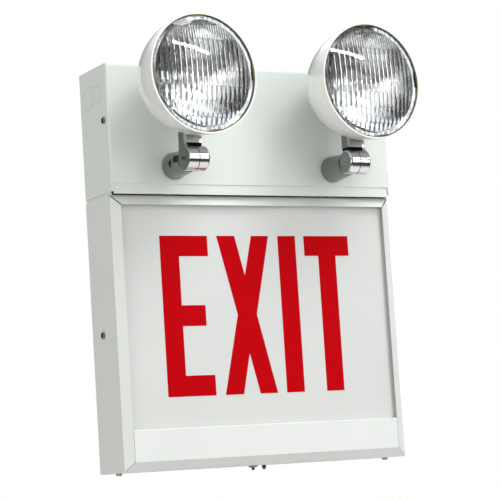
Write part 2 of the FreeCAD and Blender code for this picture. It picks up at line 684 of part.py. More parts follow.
def lens(x):
    """Pressed glass: convex front, flange, and fluted rows on the inner face."""
    edge = rim_y + 1.5
    radius = (lens_radius ** 2 + dome_height ** 2) / (2 * dome_height)
    centre_y = edge - dome_height + radius
    cap = Part.makeSphere(radius, V(x, centre_y, lamp_z)).common(
        rod(lens_radius, (x, edge - dome_height - 1, lamp_z), (x, edge, lamp_z)))
    body = fuse([cap, rod(lens_radius, (x, edge, lamp_z), (x, edge + 2, lamp_z))])
    field = rod(flute_field, (x, edge - 20, lamp_z), (x, edge + 5, lamp_z))
    inner = radius - lens_wall
    for k in range(flute_rows):
        low = row_offset + (k - flute_rows / 2) * row_height
        far = min(max(abs(low), abs(low + row_height)), flute_field - 6)
        reach = math.sqrt(flute_field ** 2 - min(abs(low), abs(low + row_height)) ** 2) + 1
        count = int(reach / flute_pitch) + 1
        ridge = []
        for j in range(2 * count + 1):
            u = (j - count) * flute_pitch / 2
            r2 = min(u * u + far * far, (flute_field + 1) ** 2)
            y = centre_y - math.sqrt(inner ** 2 - r2)
            ridge.append((x + u, y + (flute_depth if j % 2 else 0.0), lamp_z + low))
        right, left = ridge[-1][0], ridge[0][0]
        outline = ridge + [(right, edge + 3, lamp_z + low), (left, edge + 3, lamp_z + low)]
        pocket = prism(outline, (0, 0, row_height)).common(field)
        body = body.cut(pocket)
    return merged(body)


def reflector(x):
    """Parabolic bowl with a flat flange against the lens."""
    front = rim_y + 3.5
    depth = bowl_depth - terminal_depth
    focal = 50.0 ** 2 / (4 * depth)
    inner, outer = [], []
    for k in range(13):
        r = 7.0 + (50.0 - 7.0) * k / 12
        inner.append(V(x + r, front + depth - r * r / (4 * focal), lamp_z))
        outer.append(V(x + r, front + depth - r * r / (4 * focal) + 1.6, lamp_z))
    a, b = Part.BSplineCurve(), Part.BSplineCurve()
    a.interpolate(inner)
    b.interpolate(outer)
    wire = Part.Wire([a.toShape(), Part.makeLine(inner[-1], V(x + 53.6, front, lamp_z)),
                      Part.makeLine(V(x + 53.6, front, lamp_z), V(x + 53.6, front + 1, lamp_z)),
                      Part.makeLine(V(x + 53.6, front + 1, lamp_z), V(x + 50.9, front + 1, lamp_z)),
                      Part.makeLine(V(x + 50.9, front + 1, lamp_z), outer[-1]), b.toShape(),
                      Part.makeLine(outer[0], inner[0])])
    return Part.Face(wire).revolve(V(x, 0, lamp_z), V(0, 1, 0), 360), front + depth - 49.0 / (4 * focal)


for side, s in (("left", -1), ("right", 1)):
    x = s * head_spacing / 2
    z = pivot_height
    save("swivel_base_" + side, swivel_base(x, s))
    nut = hexagon(nut_across, (x, cover_y + sheet, z), (x, cover_y + sheet + 5, z))
    save("stem_nut_" + side, merged(nut.cut(rod(5.0, (x, cover_y, z), (x, cover_y + 9, z)))))
    save("lock_screw_" + side, pan_screw(3.7, 1.6, (x + s * 10.6, -79.5, z), (-s, 0, 0), 4.4, 1.8))
    save("pivot_screw_" + side, pan_screw(3.4, 2.5, (x + s * ear_length, pivot_y, z), (-s, 0, 0),
                                          2 * ear_length - 0.6, 1.8))
    save("swivel_yoke_" + side, swivel_yoke(x, s))

    lamp = x + s * neck_offset
    shell, shelf = head_housing(lamp)
    p, n = yoke_point()
    p = V(lamp, p.y, p.z)
    boss = Part.makeCylinder(4.5, 5.0, p - n * 6.0, n)
    housing = fuse([aimed(fuse([shell, shelf]), lamp), boss])
    housing = housing.cut(Part.makeCylinder(1.8, 12, p - n * 7.0, n))
    save("head_housing_" + side, merged(housing))
    save("yoke_screw_" + side, pan_screw(2.9, 1.75, tuple(p - n * 6.0), tuple(n),
                                         5.4 + saddle_wall, 1.8))

    save("lens_" + side, aimed(lens(lamp), lamp))
    bowl, throat_y = reflector(lamp)
    save("reflector_" + side, aimed(bowl, lamp))
    gasket = turned([(50.9, rim_y + 4.5), (54.2, rim_y + 4.5), (54.2, rim_y + 6.5), (50.9, rim_y + 6.5)],
                    lamp, lamp_z)
    save("lamp_gasket_" + side, aimed(gasket, lamp))
    holder = turned([(0, throat_y + 0.4), (6.9, throat_y + 0.4), (6.9, throat_y + 1.7),
                     (9.5, throat_y + 1.7), (9.5, throat_y + 8), (7.5, throat_y + 15),
                     (0, throat_y + 15)], lamp, lamp_z)
    save("bulb_holder_" + side, aimed(holder, lamp))
    envelope = fuse([rod(4.6, (lamp, throat_y - 11, lamp_z), (lamp, throat_y + 0.4, lamp_z)),
                     Part.makeSphere(4.6, V(lamp, throat_y - 11, lamp_z))])
    save("bulb_" + side, aimed(envelope, lamp))
    blades = [aimed(box(lamp + q - 2.4, lamp + q + 2.4, throat_y + 15, throat_y + 22,
                        lamp_z - 0.4, lamp_z + 0.4), lamp) for q in (-4.5, 4.5)]
    save("lamp_terminals_" + side, *blades)
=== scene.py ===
import math
import bmesh
import bpy
from mathutils import Matrix, Vector


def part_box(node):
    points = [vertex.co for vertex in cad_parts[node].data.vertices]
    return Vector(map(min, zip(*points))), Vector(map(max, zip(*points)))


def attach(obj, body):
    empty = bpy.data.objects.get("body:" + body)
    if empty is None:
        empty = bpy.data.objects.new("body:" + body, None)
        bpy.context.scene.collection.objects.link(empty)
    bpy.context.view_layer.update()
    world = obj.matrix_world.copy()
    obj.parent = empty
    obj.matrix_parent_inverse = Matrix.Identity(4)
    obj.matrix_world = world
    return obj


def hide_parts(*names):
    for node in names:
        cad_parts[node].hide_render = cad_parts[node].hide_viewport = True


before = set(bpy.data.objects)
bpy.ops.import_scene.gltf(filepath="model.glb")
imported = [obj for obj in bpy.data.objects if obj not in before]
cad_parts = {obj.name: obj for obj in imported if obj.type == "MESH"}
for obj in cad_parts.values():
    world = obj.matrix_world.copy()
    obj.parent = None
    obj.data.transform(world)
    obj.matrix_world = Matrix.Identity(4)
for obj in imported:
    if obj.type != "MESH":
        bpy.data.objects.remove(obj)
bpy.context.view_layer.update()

mm = 0.001
mergeDistance = 0.002 * mm


def tint(red, green, blue):
    # screen colour, 0 to 255, as the linear colour that shaders take
    def straight(value):
        value = value / 255.0
        return value / 12.92 if value <= 0.04045 else ((value + 0.055) / 1.055) ** 2.4
    return (straight(red), straight(green), straight(blue), 1.0)


# camera, lights and floor
view = {
    "place": (-0.89834, -1.69673, -0.33150),
    "azimuth": -28.50,
    "elevation": -6.63,
    "roll": -3.66,
    "lens": 140.24,
    "shift": 0.00066,
    "sensor": 36.0,
    "farClip": 50.0,
}

studio = {
    "aim": (0.0, -0.05, -0.11),
    "keyPlace": (0.65, -1.45, 1.95),
    "keySize": 1.2,
    "keyPower": 34.0,
    "frontPlace": (1.0, -2.1, 0.1),
    "frontSize": 1.1,
    "frontPower": 7.0,
    "fillPlace": (-2.1, -1.0, -0.1),
    "fillSize": 1.4,
    "fillPower": 13.0,
    "fillColor": (1.0, 0.98, 0.94),
    "backPlace": (0.5, 1.6, 1.6),
    "backSize": 1.2,
    "backPower": 12.0,
    "stripPlace": (0.77, -1.73, 0.90),
    "stripAlong": (0.74, 0.23, -0.22),
    "stripSize": 0.82,
    "stripWidth": 0.075,
    "stripPower": 4.5,
    "ambient": (0.70, 0.705, 0.69, 1.0),
    # room that polished metal sees, by height: pale floor, dim walls and one bright band high up
    "bands": [(0.0, 0.80), (0.18, 0.80), (0.24, 0.05), (0.50, 0.03), (0.70, 0.10), (0.74, 1.0),
              (0.86, 1.0), (0.89, 0.14), (1.0, 0.10)],
    # room that glass sees: a pale floor and ceiling, with upright bright and dark panels all around
    "skirt": [(0.0, 0.35), (0.35, 0.30), (0.42, 0.0), (0.56, 0.0), (0.64, 1.0), (1.0, 1.0)],
    "panels": [(0.0, 0.02), (0.03, 0.02), (0.04, 1.0), (0.07, 1.0), (0.08, 0.02), (0.12, 0.02),
               (0.13, 1.0), (0.24, 1.0), (0.25, 0.02), (0.62, 0.02), (0.63, 0.7), (0.68, 0.7),
               (0.69, 0.02), (0.80, 0.02), (0.81, 1.0), (0.84, 1.0), (0.85, 0.02), (0.95, 0.02),
               (0.96, 0.9), (0.98, 0.9), (0.99, 0.02)],
    "roomStrength": 2.2,
}

floor = {
    "height": -0.362,
    "span": 9.0,
    "color": tint(243, 243, 241),
    "roughness": 0.9,
    "darkColor": tint(60, 60, 60),
    "darkShare": 0.5,
    "rampLength": 6.0,
    "whiteRamp": [(0.0, 0.0), (0.10, 0.0), (0.22, 1.0), (1.0, 1.0)],
    "darkRamp": [(0.0, 0.0), (0.09, 0.0), (0.12, 1.0), (1.0, 1.0)],
}


def placeCamera():
    turn, rise, roll = (math.radians(view[k]) for k in ("azimuth", "elevation", "roll"))
    back = Vector((math.sin(turn) * math.cos(rise), -math.cos(turn) * math.cos(rise),
                   math.sin(rise)))
    right = (-back).cross(Vector((0, 0, 1))).normalized()
    up = right.cross(-back)
    rightRolled = right * math.cos(roll) + up * math.sin(roll)
    upRolled = up * math.cos(roll) - right * math.sin(roll)
    data = bpy.data.cameras.new("viewCamera")
    data.sensor_width = view["sensor"]
    data.lens = view["lens"]
    data.shift_y = view["shift"]
    data.clip_end = view["farClip"]
    camera = bpy.data.objects.new("viewCamera", data)
    camera.matrix_world = Matrix.Translation(view["place"]) @ Matrix(
        (rightRolled, upRolled, back)).transposed().to_4x4()
    bpy.context.scene.collection.objects.link(camera)
    bpy.context.scene.camera = camera


def placeLamp(name, place, size, power, color=(1.0, 1.0, 1.0), width=None, along=None):
    data = bpy.data.lights.new(name, "AREA")
    data.shape = "RECTANGLE" if width else "DISK"
    data.size = size
    if width:
        data.size_y = width
    data.energy = power
    data.color = color
    lamp = bpy.data.objects.new(name, data)
    lamp.location = place
    aim = Vector(studio["aim"]) - Vector(place)
    lamp.rotation_euler = aim.to_track_quat("-Z", "Y").to_euler()
    if along:
        back = -aim.normalized()
        across = (Vector(along) - back * Vector(along).dot(back)).normalized()
        lamp.rotation_euler = Matrix((across, back.cross(across), back)).transposed().to_euler()
    bpy.context.scene.collection.objects.link(lamp)


# node helpers, for the world, the materials and the shader groups
def mathNode(tree, operation, first, second=0.0, third=None, clamp=False):
    node = tree.nodes.new("ShaderNodeMath")
    node.operation = operation
    node.use_clamp = clamp
    for slot, value in enumerate((first, second, third)):
        if value is None:
            continue
        if isinstance(value, (int, float)):
            node.inputs[slot].default_value = value
        else:
            tree.links.new(value, node.inputs[slot])
    return node.outputs[0]


def vectorNode(tree, operation, first, second=None):
    node = tree.nodes.new("ShaderNodeVectorMath")
    node.operation = operation
    tree.links.new(first, node.inputs[0])
    if second is not None:
        tree.links.new(second, node.inputs[1])
    return node.outputs["Value" if operation == "LENGTH" else "Vector"]


def blendNode(tree, factor, first, second, kind="MIX"):
    node = tree.nodes.new("ShaderNodeMix")
    node.data_type = "RGBA"
    node.blend_type = kind
    for socket, value in ((node.inputs[0], factor), (node.inputs[6], first), (node.inputs[7], second)):
        if isinstance(value, (float, tuple)):
            socket.default_value = value
        else:
            tree.links.new(value, socket)
    return node.outputs[2]


def rampNode(tree, factor, stops):
    node = tree.nodes.new("ShaderNodeValToRGB")
    while len(node.color_ramp.elements) < len(stops):
        node.color_ramp.elements.new(0.5)
    for element, (place, value) in zip(node.color_ramp.elements, stops):
        element.position = place
        element.color = (value, value, value, 1.0)
    tree.links.new(factor, node.inputs[0])
    return node.outputs[0]


def noiseNode(tree, vector, scale, detail, rough=0.55):
    node = tree.nodes.new("ShaderNodeTexNoise")
    node.inputs["Detail"].default_value = detail
    node.inputs["Roughness"].default_value = rough
    tree.links.new(vector, node.inputs["Vector"])
    if isinstance(scale, float):
        node.inputs["Scale"].default_value = scale
    else:
        tree.links.new(scale, node.inputs["Scale"])
    return node.outputs[0]


def splitAxes(tree, vector):
    node = tree.nodes.new("ShaderNodeSeparateXYZ")
    tree.links.new(vector, node.inputs[0])
    return node.outputs


def mixShader(tree, factor, first, second):
    node = tree.nodes.new("ShaderNodeMixShader")
    for socket, value in zip(node.inputs, (factor, first, second)):
        tree.links.new(value, socket)
    return node.outputs[0]


def backgroundNode(tree, color, strength=1.0):
    node = tree.nodes.new("ShaderNodeBackground")
    node.inputs[1].default_value = strength
    if isinstance(color, tuple):
        node.inputs[0].default_value = color
    else:
        tree.links.new(color, node.inputs[0])
    return node.outputs[0]


def lightWorld():
    world = bpy.data.worlds.new("studioWorld")
    world.use_nodes = True
    tree = world.node_tree
    tree.nodes.clear()
    out = tree.nodes.new("ShaderNodeOutputWorld")
    path = tree.nodes.new("ShaderNodeLightPath")
    place = tree.nodes.new("ShaderNodeTexCoord")
    axes = splitAxes(tree, place.outputs["Generated"])
    height = mathNode(tree, "MULTIPLY_ADD", axes["Z"], 0.5, 0.5)
    turn = mathNode(tree, "ARCTAN2", axes["X"], axes["Y"])
    around = mathNode(tree, "MULTIPLY_ADD", turn, 0.5 / math.pi, 0.5)
    panels = rampNode(tree, around, studio["panels"])
    skirt = rampNode(tree, height, studio["skirt"])
    room = blendNode(tree, 1.0, panels, skirt, "LIGHTEN")
    seen = backgroundNode(tree, rampNode(tree, height, studio["bands"]))
    for ray, color, strength in (("Is Transmission Ray", room, studio["roomStrength"]),
                                 ("Is Diffuse Ray", studio["ambient"], 1.0),
                                 ("Is Camera Ray", (1.0, 1.0, 1.0, 1.0), 1.0)):
        seen = mixShader(tree, path.outputs[ray], seen, backgroundNode(tree, color, strength))
    tree.links.new(seen, out.inputs[0])
    bpy.context.scene.world = world


def layFloor():
    span, level = floor["span"], floor["height"]
    mesh = bpy.data.meshes.new("studioFloor")
    corners = [(x * span, y * span, level) for x, y in ((-1, -1), (1, -1), (1, 1), (-1, 1))]
    mesh.from_pydata(corners, [], [(0, 1, 2, 3)])
    plane = bpy.data.objects.new("studioFloor", mesh)
    bpy.context.scene.collection.objects.link(plane)
    material = bpy.data.materials.new("studioFloor")
    material.use_nodes = True
    tree = material.node_tree
    shader = tree.nodes["Principled BSDF"]
    shader.inputs["Base Color"].default_value = floor["color"]
    shader.inputs["Roughness"].default_value = floor["roughness"]
    path = tree.nodes.new("ShaderNodeLightPath")
    place = tree.nodes.new("ShaderNodeTexCoord")
    far = vectorNode(tree, "LENGTH", place.outputs["Object"])
    reach = mathNode(tree, "DIVIDE", far, floor["rampLength"])
    # the far floor fades to white where the camera sees it
    fade = rampNode(tree, reach, floor["whiteRamp"])
    white = mathNode(tree, "MULTIPLY", fade, path.outputs["Is Camera Ray"])
    glow = tree.nodes.new("ShaderNodeEmission")
    # polished metal mirrors a dark room beyond the pale sweep, and half the bounced light is lost
    edge = rampNode(tree, reach, floor["darkRamp"])
    mirrored = mathNode(tree, "MULTIPLY", edge, path.outputs["Is Glossy Ray"])
    dark = mathNode(tree, "MULTIPLY_ADD", path.outputs["Is Diffuse Ray"], floor["darkShare"], mirrored,
                    clamp=True)
    dim = tree.nodes.new("ShaderNodeBsdfDiffuse")
    dim.inputs[0].default_value = floor["darkColor"]
    surface = mixShader(tree, dark, shader.outputs[0], dim.outputs[0])
    surface = mixShader(tree, white, surface, glow.outputs[0])
    tree.links.new(surface, tree.nodes["Material Output"].inputs[0])
    mesh.materials.append(material)


bpy.context.scene.view_settings.view_transform = "Standard"
placeCamera()
lightWorld()
placeLamp("keyLamp", studio["keyPlace"], studio["keySize"], studio["keyPower"])
placeLamp("fillLamp", studio["fillPlace"], studio["fillSize"], studio["fillPower"], studio["fillColor"])
placeLamp("backLamp", studio["backPlace"], studio["backSize"], studio["backPower"])
placeLamp("frontLamp", studio["frontPlace"], studio["frontSize"], studio["frontPower"])
placeLamp("stripLamp", studio["stripPlace"], studio["stripSize"], studio["stripPower"],
          width=studio["stripWidth"], along=studio["stripAlong"])
layFloor()
print("studio ready")


# shader groups shared by the finishes
def newGroup(name, inputs, outputs):
    group = bpy.data.node_groups.new(name, "ShaderNodeTree")
    for label, value in inputs:
        kind = "NodeSocketFloat" if isinstance(value, float) else "NodeSocketColor"
        if isinstance(value, tuple) and len(value) == 3:
            kind = "NodeSocketVector"
        socket = group.interface.new_socket(name=label, in_out="INPUT", socket_type=kind)
        socket.default_value = value
    for label, kind in outputs:
        group.interface.new_socket(name=label, in_out="OUTPUT", socket_type=kind)
    return group, group.nodes.new("NodeGroupInput"), group.nodes.new("NodeGroupOutput")


finishOutputs = [("Color", "NodeSocketColor"), ("Roughness", "NodeSocketFloat"),
                 ("Normal", "NodeSocketVector")]


def reliefNormal(group, height, distance, radius):
    # fine relief on top of a small round along every sharp edge
    bevel = group.nodes.new("ShaderNodeBevel")
    bevel.samples = 4
    group.links.new(radius, bevel.inputs["Radius"])
    bump = group.nodes.new("ShaderNodeBump")
    for label, value in (("Height", height), ("Distance", distance), ("Normal", bevel.outputs[0])):
        group.links.new(value, bump.inputs[label])
    return bump.outputs[0]


paintWear = {
    "mottleDetail": 5.0,
    "gritScale": 140.0,
    "gritDetail": 6.0,
    "gritRough": 0.7,
    "dustColor": tint(186, 184, 176),
    "dustDull": 0.4,
    "spreadScale": 60.0,
    "spreadDetail": 4.0,
    "peelDetail": 2.0,
}


def buildPaintGroup():
    group, start, end = newGroup("paintFinish", [
        ("Color", tint(230, 233, 230)), ("Shade", tint(214, 218, 215)), ("Mottle Scale", 22.0),
        ("Mottle", 0.5), ("Peel Scale", 900.0), ("Peel Height", 0.00002), ("Roughness", 0.35),
        ("Roughness Spread", 0.12), ("Dust", 0.2), ("Edge Radius", 0.0004)], finishOutputs)
    given, links, wear = start.outputs, group.links, paintWear
    place = group.nodes.new("ShaderNodeTexCoord")
    where = place.outputs["Object"]
    mottle = noiseNode(group, where, given["Mottle Scale"], wear["mottleDetail"])
    amount = mathNode(group, "MULTIPLY", mottle, given["Mottle"], clamp=True)
    base = blendNode(group, amount, given["Color"], given["Shade"])
    facing = splitAxes(group, place.outputs["Normal"])
    upward = mathNode(group, "MULTIPLY", facing["Z"], given["Dust"], clamp=True)
    grit = noiseNode(group, where, wear["gritScale"], wear["gritDetail"], wear["gritRough"])
    dust = mathNode(group, "MULTIPLY", upward, grit, clamp=True)
    links.new(blendNode(group, dust, base, wear["dustColor"]), end.inputs["Color"])
    fine = noiseNode(group, where, wear["spreadScale"], wear["spreadDetail"])
    spread = mathNode(group, "MULTIPLY_ADD", fine, given["Roughness Spread"], given["Roughness"])
    links.new(mathNode(group, "MULTIPLY_ADD", dust, wear["dustDull"], spread, clamp=True),
              end.inputs["Roughness"])
    peel = noiseNode(group, where, given["Peel Scale"], wear["peelDetail"])
    relief = reliefNormal(group, peel, given["Peel Height"], given["Edge Radius"])
    links.new(relief, end.inputs["Normal"])
    return group


metalWear = {
    "sideFacing": 0.94,
    "cloudScale": 45.0,
    "cloudDetail": 5.0,
    "topSlope": 5.0,
    "topStart": -2.8,
    "grainDetail": 3.0,
    "grainRough": 0.6,
    "grainDull": 0.06,
}


def buildMetalGroup():
    group, start, end = newGroup("metalFinish", [
        ("Color", tint(180, 182, 184)), ("Dull And Shade Color", tint(120, 122, 122)), ("Dull Side", 0.0),
        ("Dull From", 9.0), ("Top Shade", 0.0), ("Stretch", (1.0, 1.0, 1.0)), ("Grain Scale", 700.0),
        ("Grain Height", 0.000012), ("Tarnish", 0.3), ("Roughness", 0.18), ("Dull Roughness", 0.42),
        ("Edge Radius", 0.0003)], finishOutputs)
    given, links, wear = start.outputs, group.links, metalWear
    place = group.nodes.new("ShaderNodeTexCoord")
    where, facing = place.outputs["Object"], splitAxes(group, place.outputs["Normal"])
    # faces turned sideways and everything behind one plane are dull cast metal
    side = mathNode(group, "GREATER_THAN", mathNode(group, "ABSOLUTE", facing["X"]), wear["sideFacing"])
    sides = mathNode(group, "MULTIPLY", side, given["Dull Side"], clamp=True)
    behind = mathNode(group, "GREATER_THAN", splitAxes(group, where)["Y"], given["Dull From"])
    dull = mathNode(group, "MAXIMUM", sides, behind, clamp=True)
    cloud = noiseNode(group, where, wear["cloudScale"], wear["cloudDetail"])
    stain = mathNode(group, "MULTIPLY", cloud, given["Tarnish"], clamp=True)
    # painted shade: faces turned upward are darkened toward the dull colour, standing in for the shade
    # under the lamp head and neck
    upward = mathNode(group, "MULTIPLY_ADD", facing["Z"], wear["topSlope"], wear["topStart"], clamp=True)
    shade = mathNode(group, "MULTIPLY", upward, given["Top Shade"], clamp=True)
    either = mathNode(group, "MAXIMUM", mathNode(group, "MAXIMUM", dull, stain), shade, clamp=True)
    links.new(blendNode(group, either, given["Color"], given["Dull And Shade Color"]), end.inputs["Color"])
    stretched = vectorNode(group, "MULTIPLY", where, given["Stretch"])
    grain = noiseNode(group, stretched, given["Grain Scale"], wear["grainDetail"], wear["grainRough"])
    gap = mathNode(group, "SUBTRACT", given["Dull Roughness"], given["Roughness"])
    rough = mathNode(group, "MULTIPLY_ADD", either, gap, given["Roughness"])
    links.new(mathNode(group, "MULTIPLY_ADD", grain, wear["grainDull"], rough, clamp=True),
              end.inputs["Roughness"])
    relief = reliefNormal(group, grain, given["Grain Height"], given["Edge Radius"])
    links.new(relief, end.inputs["Normal"])
    return group


mouldWear = {
    "fleckDetail": 6.0,
    "fleckRough": 0.65,
    "fleckDull": 0.12,
    "grainDetail": 2.0,
}


def buildMouldGroup():
    group, start, end = newGroup("mouldFinish", [
        ("Color", tint(40, 40, 42)), ("Fleck Color", tint(60, 60, 62)), ("Fleck", 0.4),
        ("Fleck Scale", 160.0), ("Grain Scale", 1500.0), ("Grain Height", 0.00002), ("Roughness", 0.45),
        ("Edge Radius", 0.0003)], finishOutputs)
    given, links, wear = start.outputs, group.links, mouldWear
    where = group.nodes.new("ShaderNodeTexCoord").outputs["Object"]
    fleck = noiseNode(group, where, given["Fleck Scale"], wear["fleckDetail"], wear["fleckRough"])
    amount = mathNode(group, "MULTIPLY", fleck, given["Fleck"], clamp=True)
    links.new(blendNode(group, amount, given["Color"], given["Fleck Color"]), end.inputs["Color"])
    links.new(mathNode(group, "MULTIPLY_ADD", fleck, wear["fleckDull"], given["Roughness"], clamp=True),
              end.inputs["Roughness"])
    grain = noiseNode(group, where, given["Grain Scale"], wear["grainDetail"])
    relief = reliefNormal(group, grain, given["Grain Height"], given["Edge Radius"])
    links.new(relief, end.inputs["Normal"])
    return group


groups = {"paint": buildPaintGroup(), "metal": buildMetalGroup(), "mould": buildMouldGroup()}


def newFinish(name, kind, values, sockets):
    material = bpy.data.materials.new(name)
    material.use_nodes = True
    nodes, links = material.node_tree.nodes, material.node_tree.links
    shader = nodes["Principled BSDF"]
    for label, value in sockets.items():
        shader.inputs[label].default_value = value
    maker = nodes.new("ShaderNodeGroup")
    maker.node_tree = groups[kind]
    for label, value in values.items():
        maker.inputs[label].default_value = value
    for label, socket in (("Color", "Base Color"), ("Roughness", "Roughness"), ("Normal", "Normal")):
        links.new(maker.outputs[label], shader.inputs[socket])
    return material


finishes = {
    "coverPaint": newFinish("coverPaint", "paint", {
        "Color": tint(224, 230, 226), "Shade": tint(216, 222, 218), "Dust": 0.25},
        {"Coat Weight": 0.15}),
    "signPaint": newFinish("signPaint", "paint", {
        "Color": tint(226, 229, 227), "Shade": tint(214, 217, 215), "Dust": 0.3},
        {"Coat Weight": 0.15}),
    "lampPaint": newFinish("lampPaint", "paint", {
        "Color": tint(240, 242, 240), "Shade": tint(232, 234, 232), "Peel Scale": 700.0,
        "Roughness": 0.16, "Dust": 0.15, "Edge Radius": 0.0003},
        {"Coat Weight": 0.5, "Coat Roughness": 0.08}),
    "panelWhite": newFinish("panelWhite", "paint", {
        "Color": tint(213, 215, 213), "Shade": tint(205, 207, 206), "Mottle Scale": 9.0, "Mottle": 0.9,
        "Peel Scale": 300.0, "Peel Height": 0.00001, "Roughness": 0.32, "Dust": 0.0}, {}),
    # both swivel castings get painted shade on their upward faces through Top Shade
    "castGrey": newFinish("castGrey", "metal", {
        "Color": tint(214, 216, 218), "Dull And Shade Color": tint(136, 140, 138), "Dull Side": 1.0,
        "Top Shade": 0.8, "Tarnish": 0.12, "Roughness": 0.08, "Dull Roughness": 0.40},
        {"Metallic": 1.0}),
    "satinCasting": newFinish("satinCasting", "metal", {
        "Color": tint(214, 216, 218), "Dull And Shade Color": tint(146, 150, 148), "Dull Side": 1.0,
        "Dull From": -0.0945, "Top Shade": 0.8, "Tarnish": 0.12, "Roughness": 0.08,
        "Dull Roughness": 0.28}, {"Metallic": 1.0}),
    "brass": newFinish("brass", "metal", {
        "Color": tint(214, 190, 132), "Dull And Shade Color": tint(140, 112, 62), "Tarnish": 0.8,
        "Roughness": 0.2},
        {"Metallic": 1.0}),
    "zinc": newFinish("zinc", "metal", {
        "Color": tint(186, 184, 176), "Dull And Shade Color": tint(120, 116, 106), "Tarnish": 0.9,
        "Roughness": 0.3},
        {"Metallic": 1.0}),
    "mirrorSilver": newFinish("mirrorSilver", "metal", {
        "Color": tint(236, 238, 240), "Dull And Shade Color": tint(206, 208, 210), "Tarnish": 0.1,
        "Roughness": 0.02, "Dull Roughness": 0.12, "Grain Height": 0.000002}, {"Metallic": 1.0}),
    "lampRing": newFinish("lampRing", "metal", {
        "Color": tint(150, 142, 96), "Dull And Shade Color": tint(54, 50, 38), "Tarnish": 0.9, "Roughness": 0.2},
        {"Metallic": 1.0}),
    "blackMoulding": newFinish("blackMoulding", "mould", {
        "Color": tint(28, 28, 30), "Fleck Color": tint(52, 52, 54)}, {}),
    "blackRubber": newFinish("blackRubber", "mould", {
        "Color": tint(30, 30, 30), "Fleck Color": tint(58, 56, 54), "Roughness": 0.7}, {}),
    "whiteNylon": newFinish("whiteNylon", "mould", {
        "Color": tint(226, 226, 218), "Fleck Color": tint(206, 205, 196), "Roughness": 0.4}, {}),
    "creamCeramic": newFinish("creamCeramic", "mould", {
        "Color": tint(222, 216, 198), "Fleck Color": tint(196, 188, 168), "Roughness": 0.6}, {}),
    "boardGreen": newFinish("boardGreen", "mould", {
        "Color": tint(22, 92, 58), "Fleck Color": tint(70, 130, 84), "Fleck": 0.7, "Fleck Scale": 260.0,
        "Roughness": 0.35}, {}),
    "boardWhite": newFinish("boardWhite", "mould", {
        "Color": tint(232, 232, 228), "Fleck Color": tint(210, 210, 204), "Fleck Scale": 240.0}, {}),
    "terminalGreen": newFinish("terminalGreen", "mould", {
        "Color": tint(34, 132, 76), "Fleck Color": tint(26, 104, 60), "Roughness": 0.3}, {}),
    "phosphor": newFinish("phosphor", "mould", {
        "Color": tint(238, 220, 120), "Fleck Color": tint(222, 196, 84), "Roughness": 0.2}, {}),
    "ironVarnish": newFinish("ironVarnish", "metal", {
        "Color": tint(96, 92, 88), "Dull And Shade Color": tint(48, 44, 40), "Tarnish": 0.9, "Roughness": 0.35,
        "Stretch": (1.0, 30.0, 1.0)}, {"Metallic": 0.6}),
    "bareAluminium": newFinish("bareAluminium", "metal", {
        "Color": tint(206, 208, 210), "Dull And Shade Color": tint(160, 162, 164), "Tarnish": 0.5,
        "Roughness": 0.25, "Stretch": (20.0, 1.0, 1.0)}, {"Metallic": 1.0}),
    "pilotTint": newFinish("pilotTint", "mould", {
        "Color": tint(92, 16, 16), "Fleck Color": tint(60, 10, 10), "Grain Height": 0.000002,
        "Roughness": 0.1}, {"Coat Weight": 0.6}),
    "letterRed": newFinish("letterRed", "paint", {
        "Color": tint(188, 0, 12), "Shade": tint(178, 0, 8), "Mottle Scale": 12.0, "Peel Scale": 400.0,
        "Peel Height": 0.00001, "Roughness": 0.45, "Dust": 0.0, "Edge Radius": 0.0001},
        {"Specular IOR Level": 0.03}),
    # black fill: painted shade in the frame mitres, the knuckle seam, the screw cross recesses and round
    # the pivot screw tips; also the dark block under each neck post
    "darkGap": newFinish("darkGap", "mould", {
        "Color": tint(14, 14, 14), "Fleck Color": tint(30, 30, 30), "Roughness": 0.8},
        {"Specular IOR Level": 0.1}),
    "satinPlate": newFinish("satinPlate", "metal", {
        "Color": tint(196, 198, 196), "Dull And Shade Color": tint(140, 142, 140), "Tarnish": 0.7,
        "Roughness": 0.34},
        {"Metallic": 1.0}),
    "agedBrass": newFinish("agedBrass", "metal", {
        "Color": tint(196, 178, 132), "Dull And Shade Color": tint(92, 78, 46), "Tarnish": 1.0, "Roughness": 0.24},
        {"Metallic": 1.0}),
}


# pressed flutes: painted shade, dark lines in the glass colour along the valleys that the lens shows
fluteLines = {
    "fineRow": 1.5,
    "driftTurn": 2.4,
    "driftShare": 0.18,
    "widthSpread": 0.7,
    "widthLeast": 0.55,
    "valleyCurve": 0.45,
    "ledgeHalf": 0.055,
    "ledgeShade": 0.7,
    "innerFrom": 0.001,
}


